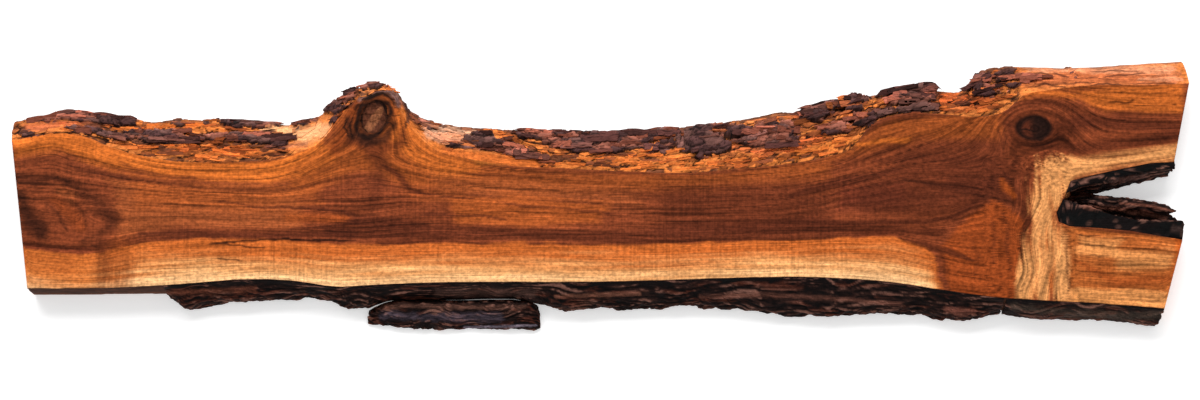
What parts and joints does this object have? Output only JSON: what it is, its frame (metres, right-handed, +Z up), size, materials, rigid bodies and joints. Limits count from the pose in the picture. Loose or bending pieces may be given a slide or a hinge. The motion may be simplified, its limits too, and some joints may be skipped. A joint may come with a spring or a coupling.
{
  "type": "live edge wood slab",
  "caption": "Thick flat-sawn walnut slab with natural edges, clinging bark, a burl with a knot on one edge and a forked end.",
  "frame": {"origin": "centre of the bounding box at the level of the underside", "axes": "+X along the grain towards the forked end, +Y towards the natural edge with the burl, +Z up out of the sawn face"},
  "size_m": [1.8496, 0.4312, 0.051],
  "materials": {
    "walnut": "oiled, semi-gloss",
    "bark": "rough, matt"
  },
  "bodies": {
    "root": {"slab_wood": "walnut", "bark_upper_corner": "bark", "bark_upper_crest": "bark", "bark_upper_band": "bark", "bark_upper_rim": "bark", "bark_upper_scale": "bark", "bark_burl_side": "bark", "bark_burl_crown": "bark", "bark_upper_tongue": "bark", "bark_upper_long": "bark", "bark_upper_plate": "bark", "bark_upper_block": "bark", "bark_upper_lump": "bark", "bark_upper_chip": "bark", "bark_lower_run": "bark", "bark_lower_limb": "bark", "bark_fork_upper": "bark", "bark_fork_lower": "bark", "bark_fork_splinter": "bark", "bark_loose_plate": "bark"}
  },
  "joints": []
}
